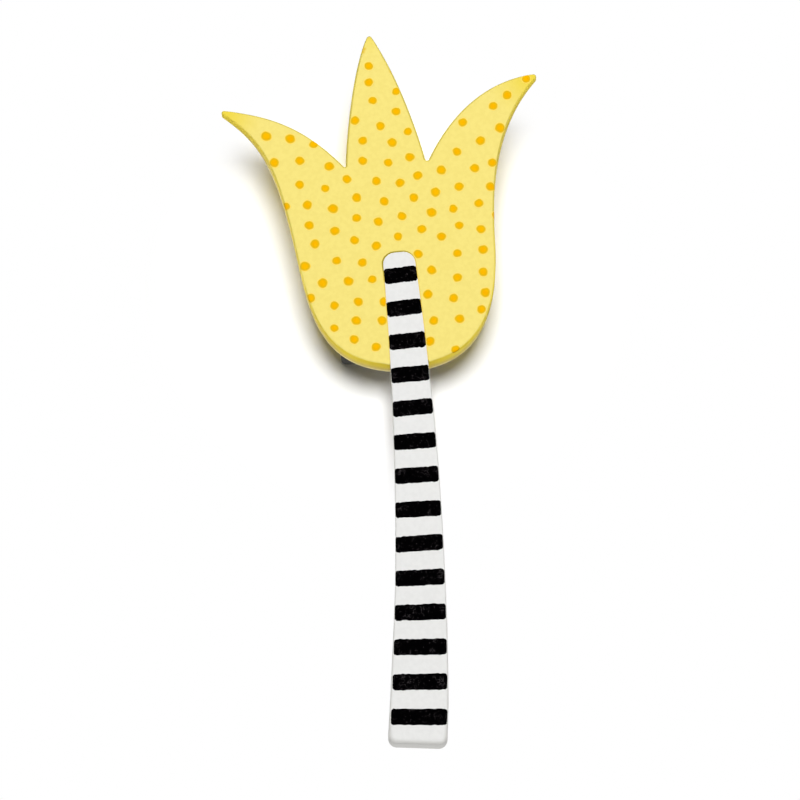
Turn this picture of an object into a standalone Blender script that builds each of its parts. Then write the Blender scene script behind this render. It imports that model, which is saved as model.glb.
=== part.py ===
"""A painted wooden flower on a striped stem, held to a steel surface by a block magnet behind it.

The flower is a flat board sawn to three petals. The stem is a tapered, slightly bowed slat of the same
board, let into an open-ended slot in the flower's lower edge and glued there. A foam pad sticks the
magnet across the back of the joint.

Metres, +Z up along the stem, +X to the right, the painted face towards -Y. The origin is the centre of
the magnet's back face. Outlines are drawn in the plane of the board, as (x, z).
"""

import math

import bmesh
import bpy
from mathutils import Vector
from mathutils.geometry import interpolate_bezier

# Board stock, shared by the flower and the stem
BOARD_THICKNESS = 0.006
EDGE_ROUND = 0.0005
EDGE_STEPS = 3

# Flower outline, from the magnet's centre: middles of the round-nosed petal tips, notches and bowl
CENTRE_TIP_X = -0.0054
CENTRE_TIP_HEIGHT = 0.0747
LEFT_TIP_REACH = 0.0425
LEFT_TIP_HEIGHT = 0.0542
RIGHT_TIP_REACH = 0.0367
RIGHT_TIP_HEIGHT = 0.0642
LEFT_NOTCH_REACH = 0.0116
LEFT_NOTCH_HEIGHT = 0.0395
RIGHT_NOTCH_REACH = 0.0094
RIGHT_NOTCH_HEIGHT = 0.0413
LEFT_WAIST_REACH = 0.0255
LEFT_WAIST_HEIGHT = 0.0240
RIGHT_WAIST_REACH = 0.0266
RIGHT_WAIST_HEIGHT = 0.0185
BOWL_BOTTOM_X = 0.0023
BOWL_BOTTOM_DROP = 0.0137
TIP_NOSE = 0.0001

# Stem: a tapered slat bent to a large radius, upright near its foot
STEM_LENGTH = 0.1271
STEM_FOOT_DROP = 0.1106
STEM_FOOT_WIDTH = 0.0141
STEM_TOP_WIDTH = 0.0080
STEM_SWELL = 0.0001
STEM_BOW_RADIUS = 0.870
STEM_BOW_X = 0.0075
STEM_UPRIGHT_DROP = 0.0815
STEM_TOP_CORNER = 0.0030
STEM_FOOT_CORNER = 0.0022

# Saw cut left round the stem in its slot, and the film of adhesive on each side of the pad
SAW_GAP = 0.0003
ADHESIVE_GAP = 0.0003

# Magnet block and the foam pad under it
MAGNET_WIDTH = 0.025
MAGNET_HEIGHT = 0.019
MAGNET_THICKNESS = 0.005
MAGNET_EDGE_ROUND = 0.0004
PAD_INSET = 0.0005
PAD_THICKNESS = 0.001
PAD_CORNER = 0.001

# Steps along each curve of the outlines
CURVE_STEPS = 12
TIP_STEPS = 6
CORNER_STEPS = 5
STEM_STEPS = 16

# Depths, worked out from the magnet's back face at y = 0
PAD_BACK = -MAGNET_THICKNESS - ADHESIVE_GAP
BOARD_BACK = PAD_BACK - PAD_THICKNESS - ADHESIVE_GAP
BOARD_FRONT = BOARD_BACK - BOARD_THICKNESS


def heading(degrees):
    return Vector((math.cos(math.radians(degrees)), math.sin(math.radians(degrees))))


def sweep(start, end, leave, arrive, leave_pull, arrive_pull):
    """A cubic curve from start to end that leaves and arrives at the given headings, in degrees.

    The pulls are the lengths of its handles, as parts of the straight distance between the ends.
    """
    chord = (end - start).length
    leave_handle = start + chord * leave_pull * heading(leave)
    arrive_handle = end - chord * arrive_pull * heading(arrive)
    return interpolate_bezier(start, leave_handle, arrive_handle, end, CURVE_STEPS + 1)


def flower_outline():
    """The flower's edge, anticlockwise as seen from the front, from the bottom of the bowl.

    Each stop is a point with the headings at which the edge arrives and leaves. At a petal's tip the
    point is the middle of a small round nose, whose radius leaves TIP_NOSE inside the rounded edge.
    """
    nose = EDGE_ROUND + TIP_NOSE
    stops = (
        (Vector((BOWL_BOTTOM_X, -BOWL_BOTTOM_DROP)), 0, 0, 0.0),
        (Vector((RIGHT_WAIST_REACH, RIGHT_WAIST_HEIGHT)), 93, 93, 0.0),
        (Vector((RIGHT_TIP_REACH, RIGHT_TIP_HEIGHT)), 48, 187, nose),
        (Vector((RIGHT_NOTCH_REACH, RIGHT_NOTCH_HEIGHT)), 246, 105, 0.0),
        (Vector((CENTRE_TIP_X, CENTRE_TIP_HEIGHT)), 123, 245, nose),
        (Vector((-LEFT_NOTCH_REACH, LEFT_NOTCH_HEIGHT)), 269, 133, 0.0),
        (Vector((-LEFT_TIP_REACH, LEFT_TIP_HEIGHT)), 174, 326, nose),
        (Vector((-LEFT_WAIST_REACH, LEFT_WAIST_HEIGHT)), 284, 284, 0.0),
    )
    pulls = (
        (0.37, 0.59),
        (0.43, 0.30),
        (0.28, 0.46),
        (0.25, 0.33),
        (0.20, 0.33),
        (0.41, 0.36),
        (0.31, 0.56),
        (0.40, 0.48),
    )
    outline = []
    for here, there, (leave_pull, arrive_pull) in zip(stops, stops[1:] + stops[:1], pulls):
        middle, arrive, leave, radius = here
        if radius:
            turns = [arrive + (leave - arrive) * step / TIP_STEPS for step in range(TIP_STEPS)]
            outline += [middle + radius * heading(turn - 90) for turn in turns]
        start = middle + radius * heading(leave - 90)
        end = there[0] + there[3] * heading(there[1] - 90)
        outline += sweep(start, end, leave, there[1], leave_pull, arrive_pull)[:-1]
    return outline


def stem_half_width(along, grow):
    """Half the stem's width at a distance along it from its foot: an even taper with a slight swell."""
    share = along / STEM_LENGTH
    taper = STEM_FOOT_WIDTH + (STEM_TOP_WIDTH - STEM_FOOT_WIDTH) * share
    return (taper + STEM_SWELL * 4 * share * (1 - share)) / 2 + grow


def stem_point(along, across):
    """Bends the straight slat: distances along and across it become a place in the board's plane."""
    turn = (along - STEM_FOOT_DROP + STEM_UPRIGHT_DROP) / STEM_BOW_RADIUS
    reach = STEM_BOW_RADIUS + across
    x = STEM_BOW_X - STEM_BOW_RADIUS + reach * math.cos(turn)
    return Vector((x, -STEM_UPRIGHT_DROP + reach * math.sin(turn)))


def stem_outline(grow=0.0):
    """The stem's edge, anticlockwise, each side moved out by grow.

    The right side is listed from the foot up as (distance along, inset from the side), with an arc at
    each end. The left side is its mirror image, and stem_point then bends both.
    """
    foot_corner = STEM_FOOT_CORNER + grow
    top_corner = STEM_TOP_CORNER + grow
    top_end = STEM_LENGTH + grow
    turns = [math.pi / 2 * step / CORNER_STEPS for step in range(CORNER_STEPS + 1)]
    arc = [(1 - math.sin(turn), 1 - math.cos(turn)) for turn in turns]
    foot = [(foot_corner * rise - grow, foot_corner * inset) for rise, inset in reversed(arc)]
    top = [(top_end - top_corner * drop, top_corner * inset) for drop, inset in arc]
    first, last = STEM_FOOT_CORNER, STEM_LENGTH - STEM_TOP_CORNER
    side = [(first + (last - first) * step / STEM_STEPS, 0.0) for step in range(1, STEM_STEPS)]
    right = [(along, stem_half_width(along, grow) - inset) for along, inset in foot + side + top]
    left = [(along, -across) for along, across in reversed(right)]
    return [stem_point(along, across) for along, across in right + left]


def board(name, outline, front, back, edge_round):
    """A flat board of the given outline between two depths, its face edges rounded over."""
    shape = bmesh.new()
    corners = [shape.verts.new((point.x, front, point.y)) for point in outline]
    face = shape.faces.new(corners)
    grown = bmesh.ops.extrude_face_region(shape, geom=[face])["geom"]
    far = [item for item in grown if isinstance(item, bmesh.types.BMVert)]
    bmesh.ops.translate(shape, verts=far, vec=(0, back - front, 0))
    bmesh.ops.recalc_face_normals(shape, faces=shape.faces)
    if edge_round:
        rim = [edge for edge in shape.edges if edge.verts[0].co.y == edge.verts[1].co.y]
        bmesh.ops.bevel(
            shape, geom=rim, offset=edge_round, segments=EDGE_STEPS, profile=0.5, affect="EDGES"
        )
    mesh = bpy.data.meshes.new(name)
    shape.to_mesh(mesh)
    shape.free()
    mesh.shade_smooth()
    mesh.set_sharp_from_angle(angle=math.radians(40))
    piece = bpy.data.objects.new(name, mesh)
    bpy.context.scene.collection.objects.link(piece)
    return piece


def rectangle(width, height, corner):
    """A rectangle round the origin with rounded corners, anticlockwise."""
    outline = []
    for quarter, (side, rise) in enumerate(((1, -1), (1, 1), (-1, 1), (-1, -1))):
        middle = Vector((side * (width / 2 - corner), rise * (height / 2 - corner)))
        for step in range(CORNER_STEPS + 1):
            outline.append(middle + corner * heading(90 * (quarter - 1 + step / CORNER_STEPS)))
    return outline


def finish(piece, name, colour, roughness, metallic=0.0):
    material = bpy.data.materials.new(name)
    material.use_nodes = True
    shader = material.node_tree.nodes["Principled BSDF"]
    shader.inputs["Base Color"].default_value = (*colour, 1.0)
    shader.inputs["Roughness"].default_value = roughness
    shader.inputs["Metallic"].default_value = metallic
    piece.data.materials.append(material)


def make_stem():
    """The striped slat, its top end standing in the flower's slot."""
    stem = board("stem", stem_outline(), BOARD_FRONT, BOARD_BACK, EDGE_ROUND)
    finish(stem, "white_paint", (0.81, 0.81, 0.80), 0.45)
    return stem


def make_flower():
    """The petal board, with the slot sawn out of it to the stem's own outline plus the saw cut."""
    flower = board("flower_board", flower_outline(), BOARD_FRONT, BOARD_BACK, EDGE_ROUND)
    finish(flower, "yellow_paint", (0.90, 0.77, 0.23), 0.45)
    past = BOARD_THICKNESS
    slot = board("slot_cutter", stem_outline(SAW_GAP), BOARD_FRONT - past, BOARD_BACK + past, 0.0)
    slot.hide_render = True
    slot.display_type = "WIRE"
    cut = flower.modifiers.new("stem_slot", "BOOLEAN")
    cut.operation = "DIFFERENCE"
    cut.solver = "EXACT"
    cut.object = slot
    return flower


def make_magnet():
    outline = rectangle(MAGNET_WIDTH, MAGNET_HEIGHT, 2 * MAGNET_EDGE_ROUND)
    magnet = board("magnet_block", outline, -MAGNET_THICKNESS, 0.0, MAGNET_EDGE_ROUND)
    finish(magnet, "ferrite", (0.035, 0.035, 0.04), 0.55)
    return magnet


def make_pad():
    width, height = MAGNET_WIDTH - 2 * PAD_INSET, MAGNET_HEIGHT - 2 * PAD_INSET
    pad = board("foam_pad", rectangle(width, height, PAD_CORNER), PAD_BACK - PAD_THICKNESS, PAD_BACK, 0.0)
    finish(pad, "white_foam", (0.80, 0.79, 0.76), 0.9)
    return pad


for leftover in list(bpy.data.objects):
    bpy.data.objects.remove(leftover)

make_flower()
make_stem()
make_pad()
make_magnet()
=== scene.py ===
"""Looks of a painted wooden flower magnet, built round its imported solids.

Metres, +Z up along the stem, +X to the right, the painted face towards -Y and the magnet's back on y = 0.
Outlines lie in the plane of the boards as (across, up), and run anticlockwise seen from the front.
"""

import bpy
import numpy as np
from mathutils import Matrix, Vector


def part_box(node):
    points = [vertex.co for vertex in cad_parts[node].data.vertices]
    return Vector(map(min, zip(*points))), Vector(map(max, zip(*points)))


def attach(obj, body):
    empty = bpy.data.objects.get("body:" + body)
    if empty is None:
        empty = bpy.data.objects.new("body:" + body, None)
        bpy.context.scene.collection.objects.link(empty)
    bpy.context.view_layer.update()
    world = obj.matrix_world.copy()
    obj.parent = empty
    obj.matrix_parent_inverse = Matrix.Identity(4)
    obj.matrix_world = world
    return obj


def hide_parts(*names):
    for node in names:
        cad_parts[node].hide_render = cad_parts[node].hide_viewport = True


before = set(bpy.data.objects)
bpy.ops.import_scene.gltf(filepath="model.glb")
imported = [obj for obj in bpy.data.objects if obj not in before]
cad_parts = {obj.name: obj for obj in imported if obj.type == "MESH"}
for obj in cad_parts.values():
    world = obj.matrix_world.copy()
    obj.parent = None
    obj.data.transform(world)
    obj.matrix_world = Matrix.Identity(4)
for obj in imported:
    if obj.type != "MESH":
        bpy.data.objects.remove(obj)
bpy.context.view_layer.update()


# Stem
# A slat of 6 mm board, tapered towards the flower, bowed to one side and rounded at its four corners.
# It is brushed white all over, and its upper end is glued flush into the flower's slot.

STEM_LENGTH = 0.1271
STEM_FOOT_DROP = 0.1106
STEM_FOOT_WIDTH = 0.0141
STEM_TOP_WIDTH = 0.0080
STEM_SWELL = 0.0001
STEM_BOW_RADIUS = 0.870
STEM_BOW_X = 0.0075
STEM_UPRIGHT_DROP = 0.0815
STEM_TOP_CORNER = 0.0030
STEM_FOOT_CORNER = 0.0022
STEM_SIDE_STEPS = 160
CORNER_STEPS = 12
BOARD_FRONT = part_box("stem")[0].y
BOARD_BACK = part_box("stem")[1].y

# The slat as cut by hand: how far its sides stand past the even taper, at distances along it from the foot,
# and its foot past the even length
SPREAD_AT = (0.000, 0.010, 0.020, 0.028, 0.040, 0.085, 0.0955)
RIGHT_SPREAD = (0.00002, 0.00027, 0.00026, 0.00027, 0.00019, 0.00018, 0.0)
LEFT_SPREAD = (0.00046, 0.00042, 0.00035, 0.00022, 0.00002, 0.00002, 0.0)
FOOT_LOW = 0.0005

EDGE_EASE = 0.0005      # sanded edges of both boards
JOINT_EASE = 0.0001     # crisp edges where stem and slot meet
FOOT_EASE = (0.0013, 0.0008)    # the foot is sanded rounder, and so is the lower stem
FOOT_BLEND = (0.0015, 0.0060, 0.0400)   # distances along with these two eases, and then with EDGE_EASE
EASE_STEPS = 6
FLAT_RIM = 0.00005      # flat margin of the faces, inside their eased edges
SHARP = np.radians(35)  # edges that turn more than this stay crisp
MOUTH = 0.0970          # distance along the stem at which it leaves the slot
MOUTH_BLEND = 0.004

WHITE = (0.725, 0.725, 0.717)
WHITE_MOTTLE = (0.70, 0.70, 0.692)
# darker line on the eased edge: part rubbed paint, part painted shade
WHITE_RUB_AND_SHADE = (0.63, 0.625, 0.605)
WHITE_SAWN = (0.66, 0.655, 0.635)
# back part of the wall, darker with painted shade
WHITE_SAWN_SHADED = (0.64, 0.635, 0.61)
WHITE_BACK_EDGE_PALE = (0.66, 0.64, 0.59)
SHADE_HEIGHTS_FROM_TO = (0.0, 0.045)      # heights between which the edge line, part painted shade, grows stronger
SHADE_FACING = (-0.45, -0.10)         # edges that face further down get less of the edge line's painted shade
WOOD = (0.52, 0.37, 0.21)
BOARD_GLOSS = (0.6, 0.05)           # roughness and specular level, here and for the other pieces

# Noises in the coat: cells to the metre, detail and stretch, then the values between which the mark sets in
SPECKLE = (900, 4)
SPECKLE_FROM_TO = (0.35, 0.65)
SPECKLE_RELIEF = 0.00004
UNEVEN = (300, 3)
UNEVEN_FROM_TO = (0.2, 0.6)
UNEVEN_SHARES = (0.6, 1.0)
BACK_EDGE_PATCHES = (250, 3)
BACK_EDGE_PATCHES_FROM_TO = (0.25, 0.5)
GRAIN = (110, 6, (9, 9, 0.5))
GRAIN_FROM_TO = (0.40, 0.72)
GRAIN_SHARES = (0.0, 0.6)
SHADE_HEIGHT_SHARES = (0.12, 1.0)
RELIEF_STRENGTH = 0.5

# Depths between which the coat changes, from the painted face to the back
RUB_AND_SHADE_FROM_TO = BOARD_FRONT + EDGE_EASE * np.array([0.0, 0.22])
RUB_AND_SHADE_ENDS_FROM_TO = BOARD_FRONT + EDGE_EASE * np.array([1, 2])
WALL_FROM_TO = BOARD_FRONT + EDGE_EASE * np.array([0.04, 0.6])
LOW_WALL_FROM_TO = (BOARD_FRONT + 3 * EDGE_EASE, BOARD_BACK - 2 * EDGE_EASE)
BACK_EDGE_FROM_TO = BOARD_BACK - EDGE_EASE * np.array([3.2, 1.6])
BACK_FROM_TO = BOARD_BACK - EDGE_EASE * np.array([0.5, 0.05])


def stem_half_width(along):
    """Half the slat's width at a distance along it from the foot: an even taper with a slight swell."""
    share = along / STEM_LENGTH
    taper = STEM_FOOT_WIDTH + (STEM_TOP_WIDTH - STEM_FOOT_WIDTH) * share
    return (taper + STEM_SWELL * 4 * share * (1 - share)) / 2


def stem_place(along, across):
    """Bends the straight slat round a circle: along becomes an angle, across adds to the radius."""
    turn = (along - STEM_FOOT_DROP + STEM_UPRIGHT_DROP) / STEM_BOW_RADIUS
    reach = STEM_BOW_RADIUS + across
    x = STEM_BOW_X - STEM_BOW_RADIUS + reach * np.cos(turn)
    return np.stack([x, reach * np.sin(turn) - STEM_UPRIGHT_DROP], axis=-1)


def stem_outline():
    """Distances along and across the slat, round its edge from the foot's right corner.

    Each side is a quarter circle at the foot, the taper, and a quarter circle at the top, moved out by its
    own spread. The left side is followed downwards.
    """
    turn = np.linspace(0, np.pi / 2, CORNER_STEPS)
    ends = STEM_FOOT_CORNER - FOOT_LOW, STEM_LENGTH - STEM_TOP_CORNER
    side = np.linspace(*ends, STEM_SIDE_STEPS)[1:-1]
    foot = STEM_FOOT_CORNER * (1 - np.cos(turn)) - FOOT_LOW
    top = STEM_LENGTH - STEM_TOP_CORNER * (1 - np.sin(turn))
    foot_inset = STEM_FOOT_CORNER * (1 - np.sin(turn))
    top_inset = STEM_TOP_CORNER * (1 - np.cos(turn))
    along = np.concatenate([foot, side, top])
    inset = np.concatenate([foot_inset, np.zeros_like(side), top_inset])
    across = stem_half_width(along) - inset
    right = across + np.interp(along, SPREAD_AT, RIGHT_SPREAD)
    left = -across - np.interp(along, SPREAD_AT, LEFT_SPREAD)
    return np.concatenate([along, along[::-1]]), np.concatenate([right, left[::-1]])


def outward_of(edge):
    """Outward direction at each point of an anticlockwise outline, as long as a mitre is.

    With a and b the unit normals of the two sides that meet there, it is (a + b) / (1 + a . b).
    """
    side = np.roll(edge, -1, axis=0) - edge
    side /= np.linalg.norm(side, axis=1, keepdims=True)
    after = np.stack([side[:, 1], -side[:, 0]], axis=1)
    before = np.roll(after, 1, axis=0)
    return (before + after) / (1 + np.sum(before * after, axis=1, keepdims=True))


def closed_rings(name, points, last_faces=None):
    """A mesh of one or more closed bodies from rings of points, shaped (bodies, rings, around, 3).

    Four-sided faces join each ring to the next. A flat face closes the first ring, and one or several the
    last: last_faces lists the places round the ring that each of these takes up. The first ring runs
    anticlockwise seen from outside.
    """
    bodies, rings, around, _ = points.shape
    index = np.arange(bodies * rings * around).reshape(bodies, rings, around)
    here, there = index[:, :-1], index[:, 1:]
    corners = (here, there, np.roll(there, -1, axis=2), np.roll(here, -1, axis=2))
    faces = np.stack(corners, axis=-1).reshape(-1, 4).tolist() + index[:, 0].tolist()
    for places in last_faces or [np.arange(around)]:
        faces += index[:, -1, places[::-1]].tolist()
    mesh = bpy.data.meshes.new(name)
    mesh.from_pydata(points.reshape(-1, 3), [], faces)
    mesh.shade_smooth()
    mesh.set_sharp_from_angle(angle=SHARP)
    piece = bpy.data.objects.new(name, mesh)
    bpy.context.scene.collection.objects.link(piece)
    return piece


def eased_rings(edge, ease, front, back):
    """Rings of a flat board whose edge profile is carried round its outline, shaped (rings, around, 3).

    The profile starts on the front face, rolls over a quarter circle of radius ease, goes down the wall
    and over a second quarter circle onto the back face. At angle t of a quarter circle the point lies
    ease * (1 - sin t) inside the outline and ease * (1 - cos t) behind the face.
    """
    turn = np.linspace(0, np.pi / 2, EASE_STEPS + 1)
    roll_in = np.outer(1 - np.sin(turn), ease)
    roll_down = np.outer(1 - np.cos(turn), ease)
    rim = ease[None] + FLAT_RIM
    inset = np.concatenate([rim, roll_in, roll_in[::-1], rim])[..., None]
    depth = np.concatenate([0 * rim + front, front + roll_down, back - roll_down[::-1], 0 * rim + back])
    flat = edge - outward_of(edge) * inset
    return np.stack([flat[..., 0], depth, flat[..., 1]], axis=-1)


def painted(name, roughness, specular):
    """A new material with its shader's constant gloss set."""
    material = bpy.data.materials.new(name)
    material.use_nodes = True
    shader = material.node_tree.nodes["Principled BSDF"]
    shader.inputs["Roughness"].default_value = roughness
    shader.inputs["Specular IOR Level"].default_value = specular
    return material, material.node_tree, shader


def noise(tree, scale, detail, stretch=(1, 1, 1)):
    """Noise on the piece's own coordinates: scale cells to the metre, drawn out where stretch is small."""
    place = tree.nodes.new("ShaderNodeTexCoord")
    mapping = tree.nodes.new("ShaderNodeMapping")
    mapping.inputs["Scale"].default_value = stretch
    tree.links.new(place.outputs["Object"], mapping.inputs["Vector"])
    texture = tree.nodes.new("ShaderNodeTexNoise")
    texture.inputs["Scale"].default_value = scale
    texture.inputs["Detail"].default_value = detail
    tree.links.new(mapping.outputs["Vector"], texture.inputs["Vector"])
    return texture.outputs["Fac"]


def ranged(tree, value, low, high, to_low=0.0, to_high=1.0):
    """Smooth step of a value: to_low below low, to_high above high."""
    fit = tree.nodes.new("ShaderNodeMapRange")
    fit.interpolation_type = "SMOOTHSTEP"
    for socket, number in zip(("From Min", "From Max", "To Min", "To Max"), (low, high, to_low, to_high)):
        fit.inputs[socket].default_value = number
    tree.links.new(value, fit.inputs["Value"])
    return fit.outputs["Result"]


def times(tree, first, second):
    """Product of two nodes' outputs."""
    product = tree.nodes.new("ShaderNodeMath")
    product.operation = "MULTIPLY"
    tree.links.new(first, product.inputs[0])
    tree.links.new(second, product.inputs[1])
    return product.outputs["Value"]


def mixed(tree, factor, first, second):
    """Colour that goes from first to second with the factor; first may be a colour or a node's output."""
    mix = tree.nodes.new("ShaderNodeMix")
    mix.data_type = "RGBA"
    tree.links.new(factor, mix.inputs["Factor"])
    if isinstance(first, tuple):
        mix.inputs["A"].default_value = (*first, 1.0)
    else:
        tree.links.new(first, mix.inputs["A"])
    mix.inputs["B"].default_value = (*second, 1.0)
    return mix.outputs["Result"]


def relief(tree, height, depth, shader):
    """Roughens the shader's normal by a node's output, whose full range stands for a depth in metres."""
    bump = tree.nodes.new("ShaderNodeBump")
    bump.inputs["Strength"].default_value = RELIEF_STRENGTH
    bump.inputs["Distance"].default_value = depth
    tree.links.new(height, bump.inputs["Height"])
    tree.links.new(bump.outputs["Normal"], shader.inputs["Normal"])


def distance_from(tree, place):
    """Distance of the shaded point from a place, on the piece's own coordinates."""
    away = tree.nodes.new("ShaderNodeVectorMath")
    away.operation = "DISTANCE"
    away.inputs[1].default_value = place
    tree.links.new(tree.nodes.new("ShaderNodeTexCoord").outputs["Object"], away.inputs[0])
    return away.outputs["Value"]


def board_acrylic(name, colour, mottle, rub_and_shade, sawn, sawn_shaded, back_edge_pale, soil=(), bruises=()):
    """Matt acrylic on a sawn board, coloured by depth from the painted face.

    The face is finely mottled, and soiled round places given with an outer and an inner distance and a
    colour. The eased edge carries a deeper line, part rubbed paint and part painted shade, most of all at the
    petals and on edges that face up, and it is bruised at places given in the same way. The sawn wall is
    soaked deep, and painted shade makes it darker and duller towards the back. A paler line runs in patches
    along the back edge. On the back itself the coat is thin and even, and the wood's grain shows through.
    """
    material, tree, shader = painted(name, *BOARD_GLOSS)
    split = tree.nodes.new("ShaderNodeSeparateXYZ")
    tree.links.new(tree.nodes.new("ShaderNodeTexCoord").outputs["Object"], split.inputs["Vector"])
    depth = split.outputs["Y"]
    speckle = noise(tree, *SPECKLE)
    uneven = ranged(tree, noise(tree, *UNEVEN), *UNEVEN_FROM_TO, *UNEVEN_SHARES)
    coat = mixed(tree, ranged(tree, speckle, *SPECKLE_FROM_TO), colour, mottle)
    for place, outer, inner, soiled in soil:
        coat = mixed(tree, ranged(tree, distance_from(tree, place), outer, inner), coat, soiled)
    coat = mixed(tree, ranged(tree, depth, *WALL_FROM_TO), coat, sawn)
    # Painted shade: towards the back the wall turns darker and duller, in uneven patches.
    low_wall = ranged(tree, depth, *LOW_WALL_FROM_TO)
    coat = mixed(tree, times(tree, low_wall, uneven), coat, sawn_shaded)
    # The edge line darkens the eased edge: part rubbed paint, part painted shade, strongest on high edges
    # that face up.
    before_end = ranged(tree, depth, *RUB_AND_SHADE_ENDS_FROM_TO, 1.0, 0.0)
    on_ease = times(tree, ranged(tree, depth, *RUB_AND_SHADE_FROM_TO), before_end)
    facing = tree.nodes.new("ShaderNodeSeparateXYZ")
    tree.links.new(tree.nodes.new("ShaderNodeNewGeometry").outputs["Normal"], facing.inputs["Vector"])
    shade_share = ranged(tree, split.outputs["Z"], *SHADE_HEIGHTS_FROM_TO, *SHADE_HEIGHT_SHARES)
    shade_share = times(tree, shade_share, ranged(tree, facing.outputs["Z"], *SHADE_FACING))
    coat = mixed(tree, times(tree, on_ease, times(tree, shade_share, uneven)), coat, rub_and_shade)
    for place, outer, inner, bruise in bruises:
        coat = mixed(tree, ranged(tree, distance_from(tree, place), outer, inner), coat, bruise)
    # A paler line in patches along the back edge.
    on_back_edge = ranged(tree, depth, *BACK_EDGE_FROM_TO)
    pale_patches = ranged(tree, noise(tree, *BACK_EDGE_PATCHES), *BACK_EDGE_PATCHES_FROM_TO)
    coat = mixed(tree, times(tree, on_back_edge, pale_patches), coat, back_edge_pale)
    on_back = ranged(tree, depth, *BACK_FROM_TO)
    coat = mixed(tree, on_back, coat, colour)
    grain = ranged(tree, noise(tree, *GRAIN), *GRAIN_FROM_TO, *GRAIN_SHARES)
    coat = mixed(tree, times(tree, on_back, grain), coat, WOOD)
    tree.links.new(coat, shader.inputs["Base Color"])
    relief(tree, speckle, SPECKLE_RELIEF, shader)
    return material


stem_along, stem_across = stem_outline()
stem_edge = stem_place(stem_along, stem_across)
ease_at = (*FOOT_BLEND, MOUTH - MOUTH_BLEND, MOUTH)
stem_ease = np.interp(stem_along, ease_at, (*FOOT_EASE, EDGE_EASE, EDGE_EASE, JOINT_EASE))
stem = closed_rings("painted_stem", eased_rings(stem_edge, stem_ease, BOARD_FRONT, BOARD_BACK)[None])
stem.data.materials.append(board_acrylic(
    "white_acrylic", WHITE, WHITE_MOTTLE, WHITE_RUB_AND_SHADE, WHITE_SAWN, WHITE_SAWN_SHADED, WHITE_BACK_EDGE_PALE
))
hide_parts("stem")
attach(stem, "root")


# Stripes on the stem
# Bands of black acrylic, each drawn across the slat's front in one stroke of a small flat brush. Their ends
# reach onto the eased edges, their long sides waver with the hand, and they are flecked and scuffed grey.

STRIPES = 14
STRIPE_FIRST = 0.0062
STRIPE_PITCH = 0.00883
STRIPE_HEIGHT = 0.0041
STRIPE_PAST = 0.00004       # the ends stand this far past the even taper
STRIPE_CORNER = 0.0008
STRIPE_WAVER = 0.00004
STRIPE_WAVES = ((2, 16), 0.5)       # first and last wave along a side, and their fall
STRIPE_SLANT = 0.030
STRIPE_TILT = 0.008
STRIPE_THICKNESS = 0.00003
STRIPE_UNDER = -0.4         # underside, as a part of the thickness
STRIPE_FLATNESS = 8         # power of the lens: a higher one is flatter in the middle
STRIPE_STATIONS = 90
STRIPE_COURSE = 14

BLACK = (0.0006, 0.0005, 0.0007)
SCUFF = (0.034, 0.030, 0.032)
STRIPE_GLOSS = (0.6, 0.0)
FLECK = (1500, 2)
FLECK_FROM_TO = (0.60, 0.78)
CURL = (900, 2)
CURL_MEAN = 0.50
CURL_WIDTH = 0.04
CURL_RELIEF = 0.00003
PATCH = (330, 2)
PATCH_FROM_TO = (0.51, 0.66)

hand = np.random.default_rng(7)     # the unsteady hand that painted it, and later the chance of chips


def waver(count, around, waves, fall):
    """Smooth closed wobbles of about unit size: cosines of whole waves with random phases.

    Wave n has the size n ** -fall, so a larger fall gives a calmer line.
    """
    angle = np.linspace(0, 2 * np.pi, around, endpoint=False)
    number = np.arange(waves[0], waves[1] + 1)[:, None]
    phase = hand.uniform(0, 2 * np.pi, (count, len(number), 1))
    size = (number / waves[0]) ** -fall * hand.uniform(0.5, 1.0, (count, len(number), 1))
    return (size * np.cos(number * angle + phase)).sum(axis=1)


def lay_on(edge, ease, places, lift, overhang):
    """Lays flat places on a board's painted face, the way a film of paint bends over its eased edge.

    A place finds the nearest outline point and how far inside it lies. Nearer than the ease it follows
    the quarter circle by arc length, then goes down the wall, by overhang at most. The film stands lift
    off the surface along its normal.
    """
    outward = outward_of(edge)
    outward /= np.linalg.norm(outward, axis=1, keepdims=True)
    flat = places.reshape(-1, 2)
    nearest = np.argmin((edge**2).sum(axis=1) - 2 * flat @ edge.T, axis=1)
    from_edge, normal, radius = flat - edge[nearest], outward[nearest], ease[nearest]
    inside = -(from_edge * normal).sum(axis=1)
    beside = from_edge + inside[:, None] * normal
    past = np.clip(radius - inside, 0, radius * np.pi / 2 + overhang[nearest])
    turn = np.minimum(past / radius, np.pi / 2)
    inset = np.where(past > 0, radius * (1 - np.sin(turn)), inside)
    depth = radius * (1 - np.cos(turn)) + past - radius * turn
    lift = np.broadcast_to(lift, places.shape[:-1]).reshape(-1)
    laid = edge[nearest] + beside + (np.sin(turn) * lift - inset)[:, None] * normal
    y = BOARD_FRONT + depth - np.cos(turn) * lift
    return np.stack([laid[:, 0], y, laid[:, 1]], axis=1).reshape(*places.shape[:-1], 3)


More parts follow.
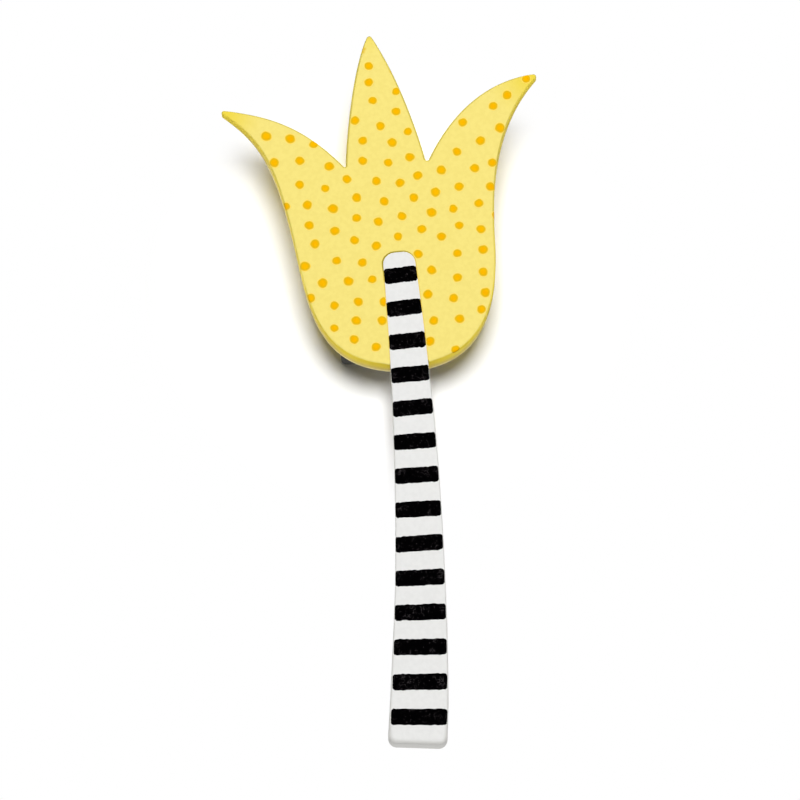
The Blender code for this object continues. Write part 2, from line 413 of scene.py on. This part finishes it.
def stripe_strokes(middles):
    """Stripes as a thin lens carried across the stem, shaped (stripes, stations, around).

    A station lies at u of the way from the stem's middle to the stripe's end, and a point of the lens at
    v of the way from the stripe's middle line to its side. Towards the ends the height follows a quarter
    circle, and both sides waver. The lens is thickest in the middle, and its underside lies in the board.
    """
    u = np.sin(np.linspace(-np.pi / 2, np.pi / 2, STRIPE_STATIONS))[:, None]
    v = np.sin(np.linspace(-np.pi / 2, np.pi / 2, STRIPE_COURSE))
    v = np.concatenate([v, v[::-1]])
    under = np.arange(2 * STRIPE_COURSE) >= STRIPE_COURSE
    reach = (stem_half_width(middles) + STRIPE_PAST)[:, None, None]
    corner = np.clip(1 - reach * (1 - np.abs(u)) / STRIPE_CORNER, 0, 1)
    half = STRIPE_HEIGHT / 2 - STRIPE_CORNER * (1 - np.sqrt(1 - corner**2))
    wobble = STRIPE_WAVER * waver(2 * len(middles), STRIPE_STATIONS, *STRIPE_WAVES)
    upper, lower = wobble.reshape(2, -1, STRIPE_STATIONS, 1)
    across = reach * u + 0 * v
    slant = STRIPE_SLANT + STRIPE_TILT * hand.standard_normal((len(middles), 1, 1))
    along = middles[:, None, None] + half * v + upper * (1 + v) / 2 + lower * (1 - v) / 2 + slant * across
    lens = 1 - np.maximum(np.abs(u), np.abs(v)) ** STRIPE_FLATNESS
    lift = np.where(under, STRIPE_UNDER, lens) * STRIPE_THICKNESS
    return along, across, np.broadcast_to(lift, along.shape)


def scuffed_black():
    """Matt black acrylic with grey flecks, and fine curled scuffs in patches where the paint has thinned.

    A scuff runs where a noise is near its mean value, so it is a thin line that curls about.
    """
    material, tree, shader = painted("black_acrylic", *STRIPE_GLOSS)
    coat = mixed(tree, ranged(tree, noise(tree, *FLECK), *FLECK_FROM_TO), BLACK, SCUFF)
    curl = noise(tree, *CURL)
    rise = ranged(tree, curl, CURL_MEAN - CURL_WIDTH, CURL_MEAN)
    fall = ranged(tree, curl, CURL_MEAN, CURL_MEAN + CURL_WIDTH, 1.0, 0.0)
    patch = ranged(tree, noise(tree, *PATCH), *PATCH_FROM_TO)
    coat = mixed(tree, times(tree, times(tree, rise, fall), patch), coat, SCUFF)
    tree.links.new(coat, shader.inputs["Base Color"])
    relief(tree, curl, CURL_RELIEF, shader)
    return material


stripe_middles = STRIPE_FIRST + STRIPE_PITCH * np.arange(STRIPES)
stripe_along, stripe_across, stripe_lift = stripe_strokes(stripe_middles)
stripe_places = stem_place(stripe_along, stripe_across)
no_overhang = np.zeros(len(stem_edge))
stripe_points = lay_on(stem_edge, stem_ease, stripe_places, stripe_lift, no_overhang)
stripes = closed_rings("stem_stripes", stripe_points)
stripes.data.materials.append(scuffed_black())
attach(stripes, "root")


# Flower board
# Three petals fret-sawn from one flat board and pared thinner behind their tips, with a slot for the stem.
# Matt yellow acrylic covers it all, soiled at the tips and bruised where the centre petal was knocked.

# Stops round the edge from the bottom of the bowl: places, headings in degrees, radii and lengths of handles
STOP_MIDDLE = np.array([
    (0.0023, -0.0137), (0.0266, 0.0185), (0.0367, 0.0642), (0.0094, 0.0418),
    (-0.0054, 0.0747), (-0.0116, 0.0398), (-0.0425, 0.0542), (-0.0255, 0.0240),
])
STOP_ARRIVE = np.array([0, 93, 48, 246, 123, 269, 174, 284])
STOP_LEAVE = np.array([0, 93, 187, 105, 245, 133, 326, 284])
STOP_RADIUS = np.array([0, 0, 0.0007, -0.0005, 0.0007, -0.0003, 0.0006, 0])
STOP_PULL = np.array([
    (0.37, 0.59), (0.43, 0.30), (0.28, 0.46), (0.25, 0.33),
    (0.20, 0.33), (0.41, 0.36), (0.31, 0.56), (0.40, 0.48),
])
TIPS = [2, 4, 6]        # stops at the petals' tips
TIP_THICKNESS = 0.0024
TIP_RELIEF = np.array([0.0180, 0.0040, 0.0180])     # lengths over which the tips are pared from behind
CURVE_STEPS = 72
NOSE_STEPS = 12
LEAST_STEP = 1e-6       # points nearer than this to the last one are left out
PETAL_EASE = (0.00045, 0.00072)     # petal edges that face down, and rounder ones that face up
PETAL_FACING = (-0.4, 0.1)
TIP_BLEND = (0.0015, 0.0060)        # but the slender tips are eased no more than the stem
GAP_AT = (0.0, 0.40, 0.53, 0.60, 0.70, 1.0)     # shares of the way round the slot, from its right corner
GAP = (0.00014, 0.00018, 0.00034, 0.00040, 0.00016, 0.00008)

YELLOW = (0.81, 0.682, 0.190)
YELLOW_MOTTLE = (0.785, 0.655, 0.175)
# darker line on the eased edge: part rubbed paint, part painted shade
YELLOW_RUB_AND_SHADE = (0.58, 0.48, 0.09)
YELLOW_SAWN = (0.93, 0.73, 0.05)
# back part of the wall, darker with painted shade
YELLOW_SAWN_SHADED = (0.70, 0.54, 0.14)
YELLOW_BACK_EDGE_PALE = (0.92, 0.78, 0.36)
YELLOW_SOILED = (0.76, 0.60, 0.055)
YELLOW_BRUISED = (0.70, 0.47, 0.04)
SOIL_TO_FROM = ((0.013, 0.0), (0.005, -0.004), (0.011, 0.0))    # from the right, centre and left tip
BRUISES = ((-0.0070, 0.0709), (-0.0067, 0.0717), (0.0002, 0.0656))  # knocks on the centre petal's edges
BRUISE_SIZE = (0.0008, 0.0)


def heading(degrees):
    """Unit directions in the board's plane at angles anticlockwise from +X."""
    turn = np.radians(degrees)
    return np.stack([np.cos(turn), np.sin(turn)], axis=-1)


def petal_edge():
    """The flower's edge from the bottom of its bowl: cubic curves between eight stops.

    Each stop has a middle, the headings at which the edge arrives and leaves, and a radius: an arc round
    the middle rounds a petal's tip, and one of negative radius the saw's turn in a notch. Between stops
    the curve's handles follow the headings, as long as the given shares of the straight distance.
    """
    middle, arrive, leave, radius = STOP_MIDDLE, STOP_ARRIVE, STOP_LEAVE, STOP_RADIUS[:, None]
    start = middle + radius * heading(leave - 90)
    end = np.roll(middle + radius * heading(arrive - 90), -1, axis=0)
    chord = np.linalg.norm(end - start, axis=1, keepdims=True)
    first_handle = start + chord * STOP_PULL[:, :1] * heading(leave)
    last_handle = end - chord * STOP_PULL[:, 1:] * heading(np.roll(arrive, -1))
    t = np.linspace(0, 1, CURVE_STEPS, endpoint=False)[:, None]
    curves = (
        (1 - t) ** 3 * start[:, None]
        + 3 * t * (1 - t) ** 2 * first_handle[:, None]
        + 3 * t**2 * (1 - t) * last_handle[:, None]
        + t**3 * end[:, None]
    )
    turn = arrive[:, None] + (leave - arrive)[:, None] * np.linspace(0, 1, NOSE_STEPS, endpoint=False)
    noses = middle[:, None] + radius[:, None] * heading(turn - 90)
    edge = np.concatenate([noses, curves], axis=1).reshape(-1, 2)
    apart = np.linalg.norm(edge - np.roll(edge, 1, axis=0), axis=1)
    return edge[apart > LEAST_STEP]


def pared_tips(rings):
    """Pares each petal's tip thinner from behind, by a flat cut that starts TIP_RELIEF inside the tip.

    The cut's plane rises towards the painted face with the distance from its start, measured along the
    line that halves the angle between the petal's edges. Points behind the plane move forward onto it.
    Also lists the points round the last ring that each cut takes up, and those that it leaves.
    """
    inward = heading((STOP_ARRIVE[TIPS] + 180 + STOP_LEAVE[TIPS]) / 2)
    ends = STOP_MIDDLE[TIPS] - STOP_RADIUS[TIPS, None] * inward
    inside = ((rings[..., None, ::2] - ends) * inward).sum(axis=-1)
    slope = (BOARD_BACK - BOARD_FRONT - TIP_THICKNESS) / TIP_RELIEF
    plane = BOARD_FRONT + TIP_THICKNESS + slope * inside
    rings[..., 1] = np.minimum(rings[..., 1], plane.min(axis=-1))
    cut = [np.flatnonzero(near) for near in (inside[-1] < TIP_RELIEF).T]
    left = np.setdiff1d(np.arange(rings.shape[1]), np.concatenate(cut))
    return rings, [np.arange(near[0] - 1, near[-1] + 2) for near in cut] + [left]


def stem_coordinates(places):
    """Distances along and across the slat of places in the board's plane: stem_place turned round."""
    x = places[:, 0] - STEM_BOW_X + STEM_BOW_RADIUS
    z = places[:, 1] + STEM_UPRIGHT_DROP
    along = np.arctan2(z, x) * STEM_BOW_RADIUS + STEM_FOOT_DROP - STEM_UPRIGHT_DROP
    return along, np.hypot(x, z) - STEM_BOW_RADIUS


def let_in_slot(petals):
    """The petal edge from the right corner of the slot's mouth round to the left, and the slot's edge.

    The petal edge is cut where its distance from the slat's side changes sign. The slot follows the
    slat's outline above those corners, moved out by the saw gap, from the left corner to the right. Also
    lists the points of the slat's outline that lie in the slot.
    """
    along, across = stem_coordinates(petals)
    clear = np.where(along < STEM_LENGTH, np.abs(across) - stem_half_width(along) - GAP[0], 1.0)
    cut = np.flatnonzero((clear[1:] > 0) != (clear[:-1] > 0))
    share = (clear[cut] / (clear[cut] - clear[cut + 1]))[:, None]
    corners = petals[cut] + share * (petals[cut + 1] - petals[cut])
    outer = np.concatenate([corners[:1], petals[cut[0] + 1 : cut[1] + 1], corners[1:]])
    mouth = stem_coordinates(corners)[0]
    inside = np.flatnonzero(stem_along > np.where(stem_across > 0, mouth[0], mouth[1]) + 2 * JOINT_EASE)
    gap = np.interp(np.linspace(0, 1, len(inside)), GAP_AT, GAP)[:, None]
    slot = stem_edge[inside] + outward_of(stem_edge)[inside] * gap
    return outer, slot[::-1], inside[::-1]


petals, slot, stem_in_slot = let_in_slot(petal_edge())
flower_edge = np.concatenate([petals, slot])
walk = np.linalg.norm(np.diff(petals, axis=0), axis=1).cumsum()
from_mouth = np.minimum(np.append(0, walk), walk[-1] - np.append(0, walk))
from_tip = np.linalg.norm(petals[:, None] - STOP_MIDDLE[TIPS], axis=-1).min(axis=1)
faces_up = outward_of(flower_edge)[: len(petals), 1]
flower_ease = np.full(len(flower_edge), JOINT_EASE)
flower_ease[: len(petals)] = np.minimum.reduce([
    np.interp(faces_up, PETAL_FACING, PETAL_EASE),
    np.interp(from_tip, TIP_BLEND, (EDGE_EASE, PETAL_EASE[1])),
    np.interp(from_mouth, (0, MOUTH_BLEND), (JOINT_EASE, PETAL_EASE[1])),
])
flower_rings, back_faces = pared_tips(eased_rings(flower_edge, flower_ease, BOARD_FRONT, BOARD_BACK))
flower = closed_rings("painted_flower", flower_rings[None], back_faces)
tip_soil = [
    ((x, BOARD_FRONT, z), *reach, YELLOW_SOILED)
    for (x, z), reach in zip(STOP_MIDDLE[TIPS], SOIL_TO_FROM)
]
edge_bruises = [((x, BOARD_FRONT, z), *BRUISE_SIZE, YELLOW_BRUISED) for x, z in BRUISES]
flower.data.materials.append(board_acrylic(
    "yellow_acrylic", YELLOW, YELLOW_MOTTLE, YELLOW_RUB_AND_SHADE, YELLOW_SAWN, YELLOW_SAWN_SHADED, YELLOW_BACK_EDGE_PALE,
    tip_soil, edge_bruises
))
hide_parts("flower_board")
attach(flower, "root")


# Glue line
# Wood glue fills the saw gap round the stem's upper end. It has shrunk a little below both faces, and
# yellow paint has run into it, so it shows as a golden brown line.

GLUE_SUNK = 0.00006
GLUE = (0.80, 0.57, 0.08)
GLUE_DARK = (0.32, 0.25, 0.008)
GLUE_DARK_AT = (-0.002, BOARD_FRONT, 0.017)
GLUE_TO_FROM = (0.012, 0.004)
GLUE_GLOSS = (0.5, 0.1)


def glue_strip():
    """A four-sided strip carried along the slot: its sides are the slot's edge and the stem's edge."""
    front = np.full(len(slot), BOARD_FRONT + GLUE_SUNK)
    back = np.full(len(slot), BOARD_BACK - GLUE_SUNK)
    inner = stem_edge[stem_in_slot]
    profile = [(slot, front), (inner, front), (inner, back), (slot, back)]
    points = [np.stack([side[:, 0], depth, side[:, 1]], axis=-1) for side, depth in profile]
    return closed_rings("glue_line", np.stack(points, axis=1)[None])


def glue_finish():
    """Golden glue, browner by the distance from the corner where it lies thickest."""
    material, tree, shader = painted("glue", *GLUE_GLOSS)
    thick = ranged(tree, distance_from(tree, GLUE_DARK_AT), *GLUE_TO_FROM)
    tree.links.new(mixed(tree, thick, GLUE, GLUE_DARK), shader.inputs["Base Color"])
    return material


glue = glue_strip()
glue.data.materials.append(glue_finish())
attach(glue, "root")


# Dots on the flower
# Dabs of orange acrylic put on by eye with a round tool, row by row from the petal tips down.
# Dabs that reach an edge bend over it, and those at the stem end at the slot.

DOT_RADIUS = 0.00132
DOT_SPREAD = 0.05
DOT_WAVER = 0.05
DOT_WAVES = ((2, 6), 1.2)
DOT_THICKNESS = 0.00003
DOT_AROUND = 28
DOT_OVERHANG = 0.0012   # how far a dab at the edge may run down the wall

# Rings of a dab from its middle to its rim, and one under it: parts of its radius and of its thickness
DAB_RINGS = 12
DAB_SHARE = np.append(1 - np.linspace(0.94, 0.0, DAB_RINGS) ** 2, 0.97)
DAB_LIFT = np.append(np.linspace(1.0, 0.0, DAB_RINGS) ** 0.6, -0.40)
DOT_PLACES_MM = (
    (-5.5, 67), (-5.5, 62.5), (1.5, 60), (-4.5, 57.5), (1.5, 54.5), (-9, 52), (-2.5, 50.5), (4.5, 49),
    (-7, 46.5), (0.5, 46), (5, 42), (-7, 41), (-0.5, 40.5), (7, 37),
    (-31.6, 47.7), (-25.5, 47), (-19.5, 45.5), (-29.5, 40.5), (-23, 41), (-15.5, 39.5),
    (34.8, 63.5), (29.9, 59), (26.3, 56), (18.5, 51.5), (28, 50), (23, 46.5), (17, 43.5),
    (26, 40.5), (21.5, 39), (13, 38.5),
    (-23, 34.5), (-16.5, 33.5), (-11, 36), (-3.5, 35.5), (2.5, 35), (11.5, 32.5), (17.5, 34), (25.5, 34),
    (-26.5, 28.6), (-21, 29), (-14.5, 28), (-8.5, 31), (-1.5, 30), (6, 31), (10.5, 27), (16, 28),
    (22.5, 29.5), (-20.5, 23.5), (-14, 22), (-8.5, 25.5), (-3, 24.5), (3, 26), (8, 22.5), (13, 20.5),
    (17.5, 23.5), (23, 22.5),
    (-19, 18.5), (-13.5, 14), (-9, 19.5), (-3.5, 18), (2, 20.5), (7.1, 15.8), (17, 16), (23.5, 17),
    (-21.5, 12.5), (-17, 8), (-7, 13.5), (10.5, 11.5), (17, 9.5), (23.5, 11),
    (-10.5, 8.5), (-4.5, 9), (9.5, 5), (16, 4), (24, 5.5),
    (-20, 4), (-14, 2), (-8, 3), (-1.5, 3), (11, -2), (17.5, -1.5), (23, 1),
    (-14, -4), (-8.5, -2), (-2, -2), (-9, -7), (-3.5, -9), (10, -7.5), (16.5, -9.7), (26.9, 26.3),
)
LARGE_DOTS = [14, 15]   # dabs from a fuller brush, in the order of the list
LARGE = 1.16
ORANGE = (0.85, 0.44, 0.001)
ORANGE_DEEP = (0.82, 0.40, 0.001)
ORANGE_RIM = (0.68, 0.42, 0.008)
ORANGE_THIN = (0.92, 0.68, 0.13)
RIM_FROM_TO = (0.42, 0.70)      # shares of a dab's radius between which its paint piles up into a rim
THIN_FROM_TO = (0.72, 1.00)     # and between which it then thins out
DOT_GLOSS = (0.6, 0.0)
CLOUD = (600, 3)
CLOUD_FROM_TO = (0.40, 0.65)
CLOUD_RELIEF = 0.00003


def dot_rims(count):
    """Outlines of the dabs round their middles: circles of nearly one size with a slight wobble."""
    angle = np.linspace(0, 2 * np.pi, DOT_AROUND, endpoint=False)
    size = DOT_RADIUS * (1 + DOT_SPREAD * hand.standard_normal((count, 1)))
    size[LARGE_DOTS] *= LARGE
    reach = size * (1 + DOT_WAVER * waver(count, DOT_AROUND, *DOT_WAVES))
    return np.stack([reach * np.cos(angle), reach * np.sin(angle)], axis=-1)


def dabbed_orange():
    """Opaque orange acrylic, a little deeper in patches, with a golden brown rim that thins out to yellow.

    The mesh's attribute "share" is each point's distance from the dab's middle, as a part of its radius.
    """
    material, tree, shader = painted("orange_acrylic", *DOT_GLOSS)
    cloud = noise(tree, *CLOUD)
    coat = mixed(tree, ranged(tree, cloud, *CLOUD_FROM_TO), ORANGE, ORANGE_DEEP)
    share = tree.nodes.new("ShaderNodeAttribute")
    share.attribute_name = "share"
    coat = mixed(tree, ranged(tree, share.outputs["Fac"], *RIM_FROM_TO), coat, ORANGE_RIM)
    coat = mixed(tree, ranged(tree, share.outputs["Fac"], *THIN_FROM_TO), coat, ORANGE_THIN)
    tree.links.new(coat, shader.inputs["Base Color"])
    relief(tree, cloud, CLOUD_RELIEF, shader)
    return material


dot_centres = np.array(DOT_PLACES_MM) / 1000
dot_reach = DAB_SHARE[:, None, None] * dot_rims(len(dot_centres))[:, None]
dot_places = dot_centres[:, None, None] + dot_reach
dot_lift = DOT_THICKNESS * DAB_LIFT[:, None]
dot_overhang = np.where(np.arange(len(flower_edge)) < len(petals), DOT_OVERHANG, 0)
dots = closed_rings("flower_dots", lay_on(flower_edge, flower_ease, dot_places, dot_lift, dot_overhang))
shares = np.broadcast_to(DAB_SHARE[:, None], dot_places.shape[:-1]).reshape(-1)
dots.data.attributes.new("share", "FLOAT", "POINT").data.foreach_set("value", shares)
dots.data.materials.append(dabbed_orange())
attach(dots, "root")


# Foam pad
# A slip of white closed-cell foam, sticky on both sides, that holds the magnet across the joint.
# It is squeezed between the two, so its cut sides bulge.

PAD_CORNER = 0.001
PAD_BULGE = 0.00045
BLOCK_SIDE_STEPS = 60
FOAM = (0.70, 0.69, 0.66)
FOAM_CELL = (0.50, 0.49, 0.46)
FOAM_GLOSS = (0.85, 0.2)
CELLS = (2600, 2)
CELLS_FROM_TO = (0.5, 0.75)
CELL_RELIEF = -0.0001


def block_edge(low, high, corner):
    """A rectangle's edge with rounded corners, anticlockwise from the lower right corner's arc.

    Each corner is a quarter circle, and each straight side is divided evenly.
    """
    turn = np.linspace(-90, 0, CORNER_STEPS) + 90 * np.arange(4)[:, None]
    across = np.array([high.x - corner, high.x - corner, low.x + corner, low.x + corner])
    up = np.array([low.z + corner, high.z - corner, high.z - corner, low.z + corner])
    arcs = np.stack([across, up], axis=-1)[:, None] + corner * heading(turn)
    step = np.linspace(0, 1, BLOCK_SIDE_STEPS)[1:-1, None]
    sides = arcs[:, -1:] + step * (np.roll(arcs[:, :1], -1, axis=0) - arcs[:, -1:])
    return np.concatenate([arcs, sides], axis=1).reshape(-1, 2)


def cut_foam():
    """White foam whose cut cells show as fine darker pits."""
    material, tree, shader = painted("foam", *FOAM_GLOSS)
    cells = noise(tree, *CELLS)
    coat = mixed(tree, ranged(tree, cells, *CELLS_FROM_TO), FOAM, FOAM_CELL)
    tree.links.new(coat, shader.inputs["Base Color"])
    relief(tree, cells, CELL_RELIEF, shader)
    return material


pad_low, pad_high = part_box("foam_pad")
pad_edge = block_edge(pad_low, pad_high, PAD_CORNER)
pad_rings = eased_rings(pad_edge, np.full(len(pad_edge), PAD_BULGE), pad_low.y, pad_high.y)
pad = closed_rings("squeezed_pad", pad_rings[None])
pad.data.materials.append(cut_foam())
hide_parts("foam_pad")
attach(pad, "root")


# Magnet
# A block of sintered ferrite, pressed, fired and ground flat on its two large faces. It is stuck to the
# foam, and its brittle edges have chipped.

MAGNET_CORNER = 0.0013
MAGNET_EASE = 0.0004
MAGNET_CHIP = 0.0005
CHIP_WAVES = ((9, 60), 0.4)
CHIP_FROM = 0.55        # part of the random line's highest value above which it chips the edge
FERRITE = (0.040, 0.039, 0.039)
FERRITE_PALE = (0.075, 0.073, 0.070)
FERRITE_PIT = (0.014, 0.014, 0.015)
FERRITE_GLOSS = (0.6, 0.2)
MARKS = (700, 3, (0.08, 1, 3))
MARKS_FROM_TO = (0.35, 0.65)
MARKS_RELIEF = 0.00004
BLOOM = (180, 4)
BLOOM_FROM_TO = (0.40, 0.70)
PITS = (1800, 2)
PITS_FROM_TO = (0.64, 0.74)


def chipped_ease(edge):
    """Radius of the block's edges: even, but larger in a few places where a smooth random line is high."""
    line = waver(1, len(edge), *CHIP_WAVES)[0]
    chip = np.clip(line / line.max() - CHIP_FROM, 0, None) / (1 - CHIP_FROM)
    return MAGNET_EASE + MAGNET_CHIP * chip


def ground_ferrite():
    """Dark grey ceramic: fine parallel grinding marks, pits, and a paler bloom."""
    material, tree, shader = painted("sintered_ferrite", *FERRITE_GLOSS)
    marks = noise(tree, *MARKS)
    bloom = ranged(tree, noise(tree, *BLOOM), *BLOOM_FROM_TO)
    coat = mixed(tree, times(tree, bloom, ranged(tree, marks, *MARKS_FROM_TO)), FERRITE, FERRITE_PALE)
    pits = ranged(tree, noise(tree, *PITS), *PITS_FROM_TO)
    tree.links.new(mixed(tree, pits, coat, FERRITE_PIT), shader.inputs["Base Color"])
    relief(tree, marks, MARKS_RELIEF, shader)
    return material


magnet_low, magnet_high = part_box("magnet_block")
magnet_edge = block_edge(magnet_low, magnet_high, MAGNET_CORNER)
magnet_rings = eased_rings(magnet_edge, chipped_ease(magnet_edge), magnet_low.y, magnet_high.y)
magnet = closed_rings("ferrite_block", magnet_rings[None])
magnet.data.materials.append(ground_ferrite())
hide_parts("magnet_block")
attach(magnet, "root")


# Backdrop and floor
# A plain pale surface leans so that the magnet's lower edge and the stem's foot touch it. It glows beyond the
# object and can be seen through from behind. A pale floor, which glows a little too, lies far below.

STAGE_SIZE = 40.0
FLOOR_DROP = 1.5
BACKDROP_GAP = 0.00005
PALE = (0.90, 0.905, 0.915)
WHITE_GLOW = (1, 1, 1, 1)
NO_COLOUR = (0, 0, 0)
STAGE_GLOSS = (0.9, 0.0)
GLOW = 1.0
FLOOR_GLOW = 0.67
GLOW_CENTRE = (0, 0, 0.013)
GLOW_FROM_TO = (0.038, 0.063)       # distances from its centre over which the glow sets in


def stage_plane(name, corners):
    """A flat pale surface of the stage between four corners, with a white glow of no strength yet."""
    mesh = bpy.data.meshes.new(name)
    mesh.from_pydata(corners, [], [(0, 1, 2, 3)])
    plane = bpy.data.objects.new(name, mesh)
    bpy.context.scene.collection.objects.link(plane)
    material, tree, shader = painted(name, *STAGE_GLOSS)
    shader.inputs["Base Color"].default_value = (*PALE, 1)
    shader.inputs["Emission Color"].default_value = WHITE_GLOW
    plane.data.materials.append(material)
    return plane, tree, shader


half = STAGE_SIZE / 2
below, above = -FLOOR_DROP, half
lean = BOARD_BACK / (magnet_low.z + STEM_FOOT_DROP)     # y gained with each metre down from the magnet
backdrop, tree, shader = stage_plane("backdrop", [
    (side * half, BACKDROP_GAP + lean * (magnet_low.z - height), height)
    for side, height in ((-1, below), (1, below), (1, above), (-1, above))
])
backdrop.visible_shadow = False
glow = ranged(tree, distance_from(tree, GLOW_CENTRE), *GLOW_FROM_TO, 0.0, GLOW)
tree.links.new(glow, shader.inputs["Emission Strength"])
tree.links.new(mixed(tree, glow, PALE, NO_COLOUR), shader.inputs["Base Color"])
one_sided = tree.nodes.new("ShaderNodeMixShader")
tree.links.new(tree.nodes.new("ShaderNodeNewGeometry").outputs["Backfacing"], one_sided.inputs["Fac"])
tree.links.new(shader.outputs["BSDF"], one_sided.inputs[1])
tree.links.new(tree.nodes.new("ShaderNodeBsdfTransparent").outputs["BSDF"], one_sided.inputs[2])
tree.links.new(one_sided.outputs["Shader"], tree.nodes["Material Output"].inputs["Surface"])
floor, _, shader = stage_plane(
    "floor", [(x * half, y * half, -FLOOR_DROP) for x, y in ((-1, -1), (1, -1), (1, 1), (-1, 1))]
)
floor.visible_diffuse = False
shader.inputs["Emission Strength"].default_value = FLOOR_GLOW


# Light and camera
# One large soft light above the camera and a little to its right, a weak one from below, one behind for the
# back, and a dim surround that only the camera sees as white. The camera looks up at the face from below.

SURROUND = 0.036
SURROUND_TINT = (0.82, 0.79, 0.52)
SURROUND_SEEN = (1, 1, 1)
LIGHTS = {      # place, size and power
    "key": ((0.075, -1.88, 0.525), 1.00, 47.0),
    "lower_fill": ((0.0, -0.11, -0.95), 0.40, 2.0),
    "back_light": ((-0.5, 1.0, 0.7), 0.80, 8.0),
}
VIEW_BELOW = np.radians(18)
VIEW_DISTANCE = 1.1
FRAME_CENTRE = np.array([0.0025, BOARD_FRONT, -0.0230])
LENS_MM = 198
SENSOR_MM = 36

scene = bpy.context.scene
scene.view_settings.view_transform = "Standard"
scene.world = bpy.data.worlds.new("surround")
scene.world.use_nodes = True
world_tree = scene.world.node_tree
background = world_tree.nodes["Background"]
seen = world_tree.nodes.new("ShaderNodeLightPath").outputs["Is Camera Ray"]
surround = mixed(world_tree, seen, SURROUND_TINT, SURROUND_SEEN)
world_tree.links.new(surround, background.inputs["Color"])
world_tree.links.new(ranged(world_tree, seen, 0, 1, SURROUND, 1.0), background.inputs["Strength"])

for name, (place, size, power) in LIGHTS.items():
    lamp = bpy.data.lights.new(name, "AREA")
    lamp.size = size
    lamp.energy = power
    light = bpy.data.objects.new(name, lamp)
    light.location = place
    light.visible_camera = False
    light.rotation_euler = (-Vector(place)).to_track_quat("-Z", "Y").to_euler()
    scene.collection.objects.link(light)

lens = bpy.data.cameras.new("camera")
lens.lens = LENS_MM
lens.sensor_width = SENSOR_MM
camera = bpy.data.objects.new("camera", lens)
camera.location = FRAME_CENTRE - VIEW_DISTANCE * np.array([0, np.cos(VIEW_BELOW), np.sin(VIEW_BELOW)])
camera.rotation_euler = (np.pi / 2 + VIEW_BELOW, 0, 0)
scene.collection.objects.link(camera)
scene.camera = camera
